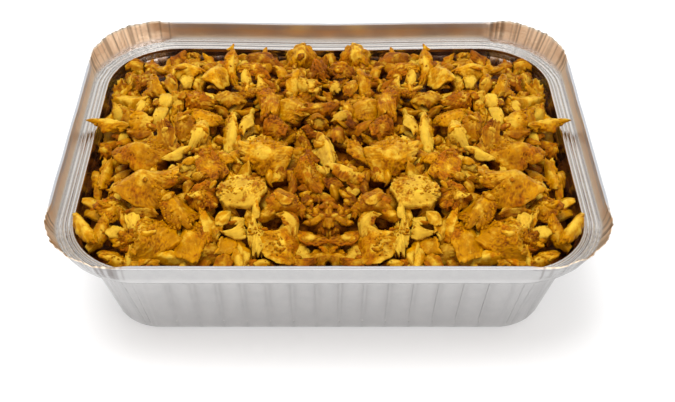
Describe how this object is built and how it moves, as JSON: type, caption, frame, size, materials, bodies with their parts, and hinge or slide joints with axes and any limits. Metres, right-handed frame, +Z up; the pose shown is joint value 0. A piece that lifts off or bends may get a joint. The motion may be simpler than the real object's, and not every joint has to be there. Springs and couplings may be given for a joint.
{
  "type": "foil tray meal",
  "caption": "Heap of sliced grilled chicken in a rectangular foil tray with fluted drafted walls, a ridged ledge and an upright flange rolled on its straight sides and pleated at its corners",
  "frame": {"origin": "centre of the tray's flat underside, which is also the bottom centre of the bounding box", "axes": "+X along the tray's length, +Y from the front side to the back side, +Z up"},
  "size_m": [0.2207, 0.1666, 0.0653],
  "materials": {
    "foil": "bright pressed foil with fine creases",
    "chicken": "moist spiced meat, golden yellow with pale cream cuts and browned edges"
  },
  "bodies": {
    "root": {"foil_tray": "foil", "chicken_heap": "chicken"}
  },
  "joints": []
}
